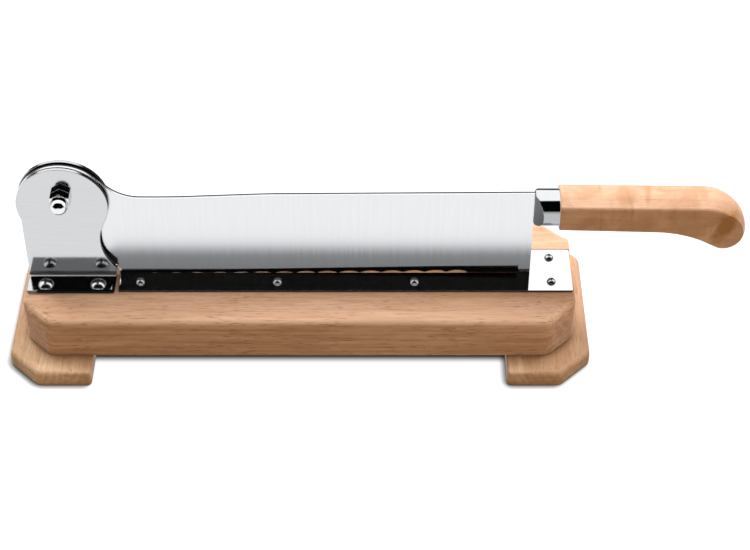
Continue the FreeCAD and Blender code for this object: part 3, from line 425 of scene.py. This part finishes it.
def beech(name, grain, light, middle, deep, fleck, rough=0.42, bands=0.3, streaks=0.46, layers=0.30,
          dashes=0.50, mottle=0.0, edge_highlight=0.0, corners=0.0, kerf_light=None, stain_and_shade=None):
    """Beech with its grain along an axis. Each strength from bands to corners is a share of one;
    edge_highlight sets a painted highlight and corners a painted shade. kerf_light and stain_and_shade are
    masks for painted light in the kerf, and for stains and painted shade."""
    material, tree, shader = blank(name)
    marks = beech_marks(tree, grain)
    upward = sums(tree, "ABSOLUTE", looks_along(tree, Z_AXIS))
    calm = remap(tree, upward, 0.6, 0.95, 1.0, TOP_CALM)
    for mark in ("ring", "layer", "streak"):
        marks[mark] = both(tree, marks[mark], calm)

    tone = blend(tree, marks["broad"], middle, light)
    strengths = {"ring": bands, "layer": layers, "streak": streaks, "line": 0.7 * streaks}
    for mark, strength in strengths.items():
        tone = blend(tree, sums(tree, "MULTIPLY", marks[mark], strength), tone, deep)
    if edge_highlight:
        # Painted highlight: faces that lean between upright and flat, on the rounded edges, are made paler.
        edge = both(tree, remap(tree, upward, 0.35, 0.70), remap(tree, upward, 0.995, 0.90))
        tone = blend(tree, sums(tree, "MULTIPLY", edge, edge_highlight), tone, PAINTED_EDGE_HIGHLIGHT)
    tone = blend(tree, sums(tree, "MULTIPLY", marks["dash"], dashes), tone, fleck)
    if mottle:
        tone = blend(tree, sums(tree, "MULTIPLY", marks["cloud"], mottle), tone, deep)
    if stain_and_shade:
        # Real stains, and on the board painted shade in the kerf and behind the plate.
        tone = blend(tree, stain_and_shade(tree), tone, fleck)
    if corners:
        # Painted shade: the wood is darkened where little open air is seen, in corners and creases.
        open_air = add(tree, "ShaderNodeAmbientOcclusion", {"samples": 8}, Distance=0.009).outputs["AO"]
        tone = blend(tree, remap(tree, open_air, 0.88, 0.40, 0.0, corners), tone, PAINTED_CORNER_SHADE)
    # Painted light: the kerf is made pale.
    if kerf_light:
        tone = blend(tree, kerf_light(tree), tone, PAINTED_KERF_LIGHT)
    tree.links.new(tone, shader.inputs["Base Color"])

    dull = remap(tree, marks["line"], 0.0, 1.0, rough, rough + 0.16, soft=False)
    tree.links.new(dull, shader.inputs["Roughness"])
    shader.inputs["Specular IOR Level"].default_value = 0.10
    relief = sums(tree, "MULTIPLY_ADD", marks["dash"], -0.9, sums(tree, "MULTIPLY", marks["line"], -0.5))
    bump = add(tree, "ShaderNodeBump", Height=relief, Strength=0.25, Distance=0.0003)
    tree.links.new(bump.outputs[0], shader.inputs["Normal"])
    return material


print("on faces that look up, the streaks keep a share of", TOP_CALM)

# %% [markdown]
# ### Marks that belong to one piece
#
# No two pieces of wood are alike. The grip has bars where its figure turns, and one brown patch near its
# end. The right foot is a little darker. The saw kerf under the slot is painted pale up to the last
# scallop, as painted light, and painted dark past it, as painted shade, and a thin line of painted shadow
# lies on the board behind the plate.
# Each of these is a mask in the piece's own metres, laid over the recipe, which costs less than a
# second material and never shows an edge.

# %% Marks on the grip and on the right foot
PATCH_PLACE = (0.2372, -0.0157, 0.0945)
PATCH_SIZE = (0.0090, 0.010, 0.0170)
PATCH_LEAN = 18                             # degrees
PATCH_STRENGTH = 0.90
RIGHT_FOOT_DARKER = 0.10


def grip_stain(tree):
    """Bars across the grip and the brown patch, whose outline wanders."""
    bar = noise(tree, stretched(tree, (1.0, 0.12, 0.16), (0.043, 0.0, 0.0)), 120.0, 2.0, 0.5, 0.3)
    bar = sums(tree, "MULTIPLY", remap(tree, bar, 0.56, 0.72), 0.42)
    patch = add(tree, "ShaderNodeTexCoord").outputs["Object"]
    patch = add(tree, "ShaderNodeMapping", {"vector_type": "TEXTURE"}, Vector=patch, Location=PATCH_PLACE,
                Rotation=(0.0, math.radians(PATCH_LEAN), 0.0), Scale=PATCH_SIZE).outputs[0]
    far = add(tree, "ShaderNodeVectorMath", {"operation": "LENGTH"}, n0=patch).outputs["Value"]
    wander = noise(tree, stretched(tree), 160.0, 3.0, 0.5)
    far = sums(tree, "MULTIPLY_ADD", wander, 0.9, far)
    return either(tree, bar, remap(tree, far, 0.80, 1.60, PATCH_STRENGTH, 0.0))


def darker_right_foot(tree):
    return remap(tree, own_axes(tree)[0], -0.01, 0.01, 0.0, RIGHT_FOOT_DARKER)


print("the brown patch is", [round(2000 * side) for side in PATCH_SIZE], "mm wide, deep and high")

# %% Marks in the kerf and behind the plate
CENTRE_BLADE = (0.0, 0.0022, 0.0)           # makes Y nought in the blade's middle plane
BOARD_TOP = 0.0435
KERF_HALF = 0.0040
KERF_FLOOR = 0.0330
LAST_SCALLOP = 0.063
SKIN = 0.0001                               # how sharply a mask ends, in metres


def kerf(tree, end_low, end_high):
    """A mask of the kerf, with one strength before the last scallop and another past it."""
    x, y, z = own_axes(tree, CENTRE_BLADE)
    narrow = remap(tree, sums(tree, "ABSOLUTE", y), KERF_HALF, KERF_HALF + 2 * SKIN, 1.0, 0.0)
    under_top = remap(tree, z, BOARD_TOP - 3 * SKIN, BOARD_TOP - 2 * SKIN, 1.0, 0.0)
    deep = remap(tree, z, KERF_FLOOR, KERF_FLOOR + SKIN)
    inside = both(tree, remap(tree, x, board_low.x + 0.003, board_low.x + 0.004),
                  remap(tree, x, board_high.x - 0.004, board_high.x - 0.003, 1.0, 0.0))
    narrow = both(tree, both(tree, narrow, inside), deep)
    strength = remap(tree, x, LAST_SCALLOP, LAST_SCALLOP + 0.002, end_low, end_high)
    return both(tree, both(tree, narrow, under_top), strength)


# Painted light: the kerf, which lies in shade, is painted pale up to the last scallop.
def painted_light_in_kerf(tree):
    return kerf(tree, 1.0, 0.0)


def painted_kerf_and_plate_shade(tree):
    """Painted shade at the kerf's end past the last scallop, and a line of painted shadow on the board
    behind the plate.
    """
    _, y, z = own_axes(tree)
    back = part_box("slot_plate")[1].y
    line = both(tree, remap(tree, y, back, back + 0.0002),
                remap(tree, y, back + 0.0022, back + 0.0028, 1.0, 0.0))
    line = both(tree, line, remap(tree, z, BOARD_TOP - 0.0010, BOARD_TOP - 0.0005))
    return either(tree, kerf(tree, 0.0, 1.0), line)


# Past this X the kerf is painted dark, as painted shade.
print("the kerf's mask is", 2000 * KERF_HALF, "mm wide; scorch starts at X =", 1000 * LAST_SCALLOP, "mm")

# %% Mix the beech for each piece
beech_board = beech("oiled beech board", X_AXIS, colour(223, 178, 145), colour(205, 159, 124),
                    colour(164, 112, 76), colour(118, 68, 40), bands=0.20, streaks=0.46, edge_highlight=0.35,
                    corners=0.45, kerf_light=painted_light_in_kerf, stain_and_shade=painted_kerf_and_plate_shade)
beech_foot = beech("oiled beech feet", Y_AXIS, colour(226, 186, 150), colour(206, 163, 126),
                   colour(164, 114, 76), colour(118, 72, 42), bands=0.22, streaks=0.36, dashes=0.38,
                   edge_highlight=0.15, corners=0.60, stain_and_shade=darker_right_foot)
beech_handle = beech("oiled beech grip", X_AXIS, colour(222, 178, 148), colour(206, 159, 127),
                     colour(176, 124, 84), colour(156, 102, 42), rough=0.36, bands=0.06, streaks=0.16,
                     layers=0.12, dashes=0.25, mottle=0.50, stain_and_shade=grip_stain)
print("beech finishes:", [made.name for made in (beech_board, beech_foot, beech_handle)])

# %% [markdown]
# ## Steel
#
# The blade is ground across its height and then polished to a satin, so its faint scratches run
# from spine to edge. The brackets, the slot plate and the collar are buffed to a mirror, which
# leaves only a slow ripple and a few fine wheel marks. The difference is all in the roughness, so
# one recipe serves them all. A slightly rounded normal at each edge catches the light, as a real
# edge that has met a buffing wheel does.


# %% The steel recipe
def steel(name, tint, rough, marks, mark_scale, mark_depth, ripple=0.0, spread=0.05, edge=0.0005,
          worked_and_painted=()):
    """Polished metal. marks squeezes the scratches, mark_depth and ripple give their height, spread is how
    much the gloss wanders, edge is the radius that an edge seems to have, and worked_and_painted lists the
    places with another tone and roughness: the ground bevel, and places of painted shade and painted
    highlight."""
    material, tree, shader = blank(name)
    shader.inputs["Metallic"].default_value = 1.0
    lines = noise(tree, stretched(tree, marks), mark_scale, 3.0, 0.6)
    cloud = noise(tree, stretched(tree, UNSQUEEZED, (0.2, 0.4, 0.1)), 38.0, 3.0)
    paler = tuple(min(1.0, part * 1.012) for part in tint[:3]) + (1.0,)
    darker = tuple(part * 0.985 for part in tint[:3]) + (1.0,)
    tone = blend(tree, remap(tree, lines, 0.35, 0.65), darker, paler)
    grain = sums(tree, "MULTIPLY_ADD", lines, 0.7, sums(tree, "MULTIPLY", cloud, 0.3))
    gloss = remap(tree, grain, 0.35, 0.65, max(0.0, rough - spread), rough + spread)
    for where, place_tone, place_gloss in worked_and_painted:
        mask = where(tree)
        tone = blend(tree, mask, tone, place_tone)
        step = sums(tree, "SUBTRACT", place_gloss, gloss)
        gloss = sums(tree, "ADD", gloss, sums(tree, "MULTIPLY", mask, step))
    tree.links.new(tone, shader.inputs["Base Color"])
    tree.links.new(gloss, shader.inputs["Roughness"])
    height = sums(tree, "MULTIPLY_ADD", lines, mark_depth, sums(tree, "MULTIPLY", cloud, ripple))
    eased = add(tree, "ShaderNodeBevel", {"samples": 6}, Radius=edge)
    bump = add(tree, "ShaderNodeBump", Height=height, Strength=1.0, Distance=0.001, Normal=eased.outputs[0])
    tree.links.new(bump.outputs[0], shader.inputs["Normal"])
    return material


def grey(tone):
    return (tone, tone, tone, 1.0)


print("a tone of 0.03 is written", grey(0.03))

# %% [markdown]
# ### Where the steel gets another tone: painted shade, a painted highlight, and the ground bevel
#
# A sheet is mirror bright on its faces only. Its sheared edges stay dull, with a rougher gloss, and are
# painted near black as painted shade. The inside of the press bend is painted darker, as painted shade, and
# made rougher, with one painted highlight line beside it. The collar's flats are painted darker and its
# underside a little darker, as painted shade, and the flats have a rougher, filed gloss. A bracket's hidden
# inner face, the flange's rim, the far side of the blade's spine and the screws' rims are painted dark as
# painted shade. The bevel is ground. Each such place is a mask from the way a face looks and from where it
# lies on the piece.

# %% Painted shade, a painted highlight and duller edges on the sheet steel
FLANGE_THICK = 0.0025
FLANGE_TOP = BOARD_TOP + FLANGE_THICK
BEND_TOP = 0.0500
FREE_EDGE = 0.0216                          # the flange's outer edge, from the blade's middle plane
INNER_FACE = 0.0031                         # the bracket's inner face, from the same plane
FLANGE_LEFT, FLANGE_RIGHT = -0.2345, -0.1818
HIDDEN_LEFT = -0.236                        # X from which the blade hides the inner face


def sheet_edges(tree):
    """The sheared edges of flat sheet: faces that look neither up nor down, which get a rougher gloss and a
    near black tone as painted shade.
    """
    flat = sums(tree, "ADD", facing(tree, Z_AXIS, 0.3, 0.7), facing(tree, Z_AXIS, -0.3, -0.7))
    return sums(tree, "SUBTRACT", 1.0, flat)


def below(tree, start, end):
    """One below the height called start, nought above end."""
    return remap(tree, own_axes(tree)[2], start, end, 1.0, 0.0)


def flange_edges(tree):
    """The sheared edges of a flange, up to just under its top, painted dark as painted shade."""
    return both(tree, below(tree, FLANGE_TOP - 4 * SKIN, FLANGE_TOP - 2 * SKIN), sheet_edges(tree))


def flange_rim(tree):
    """The last millimetre of a flange at its free edge and at its end on the blade's side, painted near
    black as painted shade.
    """
    x, y, _ = own_axes(tree, CENTRE_BLADE)
    free = remap(tree, sums(tree, "ABSOLUTE", y), FREE_EDGE, FREE_EDGE + 2 * SKIN)
    free = both(tree, free, remap(tree, x, FLANGE_LEFT, FLANGE_LEFT + 0.0020))
    rim = either(tree, free, remap(tree, x, FLANGE_RIGHT, FLANGE_RIGHT + 4 * SKIN))
    return both(tree, rim, below(tree, FLANGE_TOP + 2 * SKIN, FLANGE_TOP + 5 * SKIN))


def bend(tree):
    """The inside of the bend, where painted shade and a rougher gloss go."""
    turned = both(tree, facing(tree, Z_AXIS, 0.06, 0.20), facing(tree, Z_AXIS, 0.94, 0.88))
    return both(tree, turned, below(tree, BEND_TOP - 3 * SKIN, BEND_TOP))


def bend_line(tree):
    """The painted highlight line where the bend runs out into the flange."""
    turned = both(tree, facing(tree, Z_AXIS, 0.88, 0.94), facing(tree, Z_AXIS, 0.9995, 0.995))
    return both(tree, turned, below(tree, BEND_TOP - 3 * SKIN, BEND_TOP))


def painted_bracket_shade(tree):
    """Painted shade on a bracket's inner face, which the blade hides, and on its edge on the blade's side.
    """
    x, y, z = own_axes(tree, CENTRE_BLADE)
    inner = remap(tree, sums(tree, "ABSOLUTE", y), INNER_FACE, INNER_FACE + SKIN, 1.0, 0.0)
    inner = both(tree, inner, remap(tree, x, HIDDEN_LEFT, HIDDEN_LEFT + 0.010))
    above = remap(tree, z, FLANGE_TOP + 0.0010, FLANGE_TOP + 0.0020)
    return either(tree, inner, both(tree, above, facing(tree, X_AXIS, 0.35, 0.55)))


print("the flange's top lies", round(1000 * FLANGE_TOP, 1), "mm over the floor")

# %% Painted shade and the ground bevel on the blade, the collar and the screws
FAR_HALF = -0.0021                          # Y from which the blade's spine lies in shade


def far_rim(tree):
    """Painted shade on the far half of the blade's spine and of its head's rim."""
    across = facing(tree, Y_AXIS, 0.6, 0.4)
    return both(tree, remap(tree, own_axes(tree)[1], FAR_HALF, FAR_HALF + SKIN), across)


def ground_bevel(tree):
    return facing(tree, Z_AXIS, -0.08, -0.16)


# Painted shade: the collar's flats, facing the blade's side, get a darker tone.
def collar_flats(tree):
    return facing(tree, X_AXIS, -0.25, -0.4)


# Painted shade: faces of the collar that look down get a darker tone.
def collar_underside(tree):
    return facing(tree, Z_AXIS, 0.50, 0.42)


def dome_rim(tree):
    """Painted shade on the rims of the screws past the blade's end, which stand on white steel."""
    return both(tree, facing(tree, Z_AXIS, 0.74, 0.52), remap(tree, own_axes(tree)[0], 0.10, 0.11))


print("the blade's middle plane is at Y =", -1000 * CENTRE_BLADE[1], "mm")

# %% Mix the steel for each piece
BLADE_ROUGH = 0.25
PLATE_ROUGH = 0.03

blade_steel = steel("satin blade steel", (0.615, 0.62, 0.635, 1.0), BLADE_ROUGH, marks=(1.0, 1.0, 0.04),
                    mark_scale=500.0, mark_depth=0.0001, spread=0.02, edge=0.0002, worked_and_painted=[
                        (ground_bevel, (0.40, 0.40, 0.41, 1.0), 0.10),
                        # Painted shade on the spine's far half.
                        (far_rim, grey(0.03), 0.40)])
bracket_steel = steel("mirror bracket steel", (0.48, 0.485, 0.495, 1.0), 0.11, marks=(0.10, 1.0, 1.0),
                      mark_scale=500.0, mark_depth=0.0001, ripple=0.001, spread=0.02, edge=0.0009, worked_and_painted=[
                          # Painted shade on the flange's sheared edges.
                          (flange_edges, (0.10, 0.08, 0.06, 1.0), 0.5),
                          # Painted shade: the flange's rim is near black.
                          (flange_rim, grey(0.004), 0.5),
                          # Painted shade in the bend, and a painted highlight on the line beside it.
                          (bend, (0.19, 0.19, 0.195, 1.0), 0.6),
                          (bend_line, (0.60, 0.60, 0.61, 1.0), 0.4),
                          # Painted shade: the bracket's hidden inner face and its blade-side edges are near
                          # black.
                          (painted_bracket_shade, grey(0.012), 0.5)])
plate_steel = steel("mirror slot plate steel", (0.62, 0.625, 0.63, 1.0), PLATE_ROUGH,
                    marks=(0.05, 1.0, 1.0), mark_scale=600.0, mark_depth=0.00003, ripple=0.0003,
                    spread=0.01, edge=0.0001, worked_and_painted=[
                        # Painted shade: the plate's sheared edges are near black.
                        (sheet_edges, (0.015, 0.012, 0.010, 1.0), 0.5)])
ferrule_steel = steel("polished collar steel", (0.53, 0.535, 0.545, 1.0), 0.06, marks=(1.0, 0.06, 0.06),
                      mark_scale=700.0, mark_depth=0.0002, spread=0.02, edge=0.0008, worked_and_painted=[
                          # Painted shade on the collar's underside and flats, which also get a rougher
                          # gloss.
                          (collar_underside, (0.34, 0.35, 0.36, 1.0), 0.06),
                          (collar_flats, (0.20, 0.205, 0.215, 1.0), 0.30)])
screw_steel = steel("polished screw steel", (0.56, 0.56, 0.57, 1.0), 0.20, marks=UNSQUEEZED,
                    mark_scale=900.0, mark_depth=0.0004, spread=0.03, edge=0.0002, worked_and_painted=[
                        # Painted shade: a dark ring round each dome.
                        (dome_rim, grey(0.15), 0.30)])
nut_plating = steel("bright plated nut", (0.64, 0.64, 0.65, 1.0), 0.06, marks=UNSQUEEZED,
                    mark_scale=700.0, mark_depth=0.0002, ripple=0.001, spread=0.02)
plain_steel = steel("turned plain steel", (0.50, 0.50, 0.51, 1.0), 0.26, marks=(1.0, 0.08, 0.08),
                    mark_scale=1200.0, mark_depth=0.001)
bronze = steel("bearing bronze", (0.60, 0.42, 0.22, 1.0), 0.28, marks=(1.0, 0.1, 0.1),
               mark_scale=1000.0, mark_depth=0.001)
print("blade satin is rougher than the plate's mirror:", BLADE_ROUGH, "against", PLATE_ROUGH)

# %% [markdown]
# ## Put each finish on its pieces
#
# Finishes could be given to the pieces one by one, by name. The model's record already names a
# slot for each piece, such as the plate's polish or the screws' steel, so the finish goes on by
# that slot instead, and no screw or washer is forgotten.

# %% Dress the pieces
finishes = {
    "beech_board": beech_board,
    "beech_foot": beech_foot,
    "beech_handle": beech_handle,
    "polished_plate": plate_steel,
    "polished_bracket": bracket_steel,
    "blade_steel": blade_steel,
    "polished_ferrule": ferrule_steel,
    "screw_steel": screw_steel,
    "plated_nut": nut_plating,
    "plain_steel": plain_steel,
    "bronze": bronze,
}
for part in frame["record"]["subparts"]:
    piece = nodes[part["node"]]
    finish = finishes[part["material_slot"]]
    for slot in piece.material_slots:
        slot.material = finish
    if not piece.material_slots:
        piece.data.materials.append(finish)

# %% [markdown]
# ## What the steel mirrors
#
# Bright wood seen in polished steel would tint it brown all over. In a studio it is hidden behind
# a strip of card laid along the board. Leaving the wood out of reflections does the same.
#
# What card is laid there sets the tone of each mirror. The strips are painted reflections: sheets that only
# reflections see. A black strip under the plate, in the slot where there is only shade, keeps the slot and
# the bevel over it dark, as painted shade. Two grey ones over the plate, the upper one reaching further
# towards the cook, give the lowest part of the blade its painted darker reflection, which fades upward. A
# dark one over the front flange does the same for the bracket. The strips are seen from above only, so the
# plate and the flange, which lie below them, mirror the room as before.

# %% Keep the steel neutral
for name in ("base_board", "left_foot", "right_foot", "handle"):
    nodes[name].visible_glossy = False
print("left out of reflections:", [name for name in nodes if not nodes[name].visible_glossy])

# %% Lay the strips that paint the reflections
CARD_TINT = (0.98, 0.99, 1.0, 1.0)
BLACK, DARK, GREY = 0.004, 0.24, 0.33       # how bright reflections see each card
FADE = 0.019                                # m over which the raised strip fades into the floor
JUST_OVER = 0.0002                          # m, so that a strip doesn't touch the steel under it


def strip(name, left, right, near, far, height, level, soft=0.0):
    """A sheet that only reflections see, from above, and that paints their tone; its near edge may fade
    into the floor.
    """
    made = sheet(name, left, right, near, far, height)
    made.visible_camera = made.visible_diffuse = made.visible_shadow = made.visible_transmission = False
    material, tree = empty(name)
    from_below = add(tree, "ShaderNodeNewGeometry").outputs["Backfacing"]
    shine = add(tree, "ShaderNodeEmission", Color=CARD_TINT, Strength=level)
    if soft:
        place = add(tree, "ShaderNodeNewGeometry").outputs["Position"]
        across = add(tree, "ShaderNodeSeparateXYZ", Vector=place).outputs[1]
        fading = remap(tree, across, near, near + soft, MIRROR_FLOOR, level)
        tree.links.new(fading, shine.inputs["Strength"])
    clear = add(tree, "ShaderNodeBsdfTransparent")
    mixed = add(tree, "ShaderNodeMixShader", n0=from_below, n1=shine.outputs[0], n2=clear.outputs[0])
    add(tree, "ShaderNodeOutputMaterial", Surface=mixed.outputs[0])
    made.data.materials.append(material)
    return made


plate_low, plate_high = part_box("slot_plate")
flange_top = plate_low.z + FLANGE_THICK
# Painted reflections: the black strip puts painted shade in the slot, and the others darken what the blade
# and the bracket mirror.
strips = [
    strip("black_strip", left=plate_low.x - 0.002, right=plate_high.x - 0.002,
          near=plate_low.y + 0.001, far=plate_high.y - 0.001, height=plate_low.z - 0.004, level=BLACK),
    strip("grey_strip", left=plate_low.x - 0.008, right=plate_high.x - 0.013,
          near=-0.0106, far=-0.0060, height=plate_high.z + JUST_OVER, level=GREY),
    strip("raised_strip", left=plate_low.x - 0.008, right=plate_high.x - 0.013,
          near=-0.0357, far=-0.0070, height=plate_high.z + 0.0031, level=GREY, soft=FADE),
    strip("dark_strip", left=-0.2405, right=-0.1802,
          near=-0.0250, far=-0.0110, height=flange_top + JUST_OVER, level=DARK),
]
print("reflections see these strips:", [made.name for made in strips])
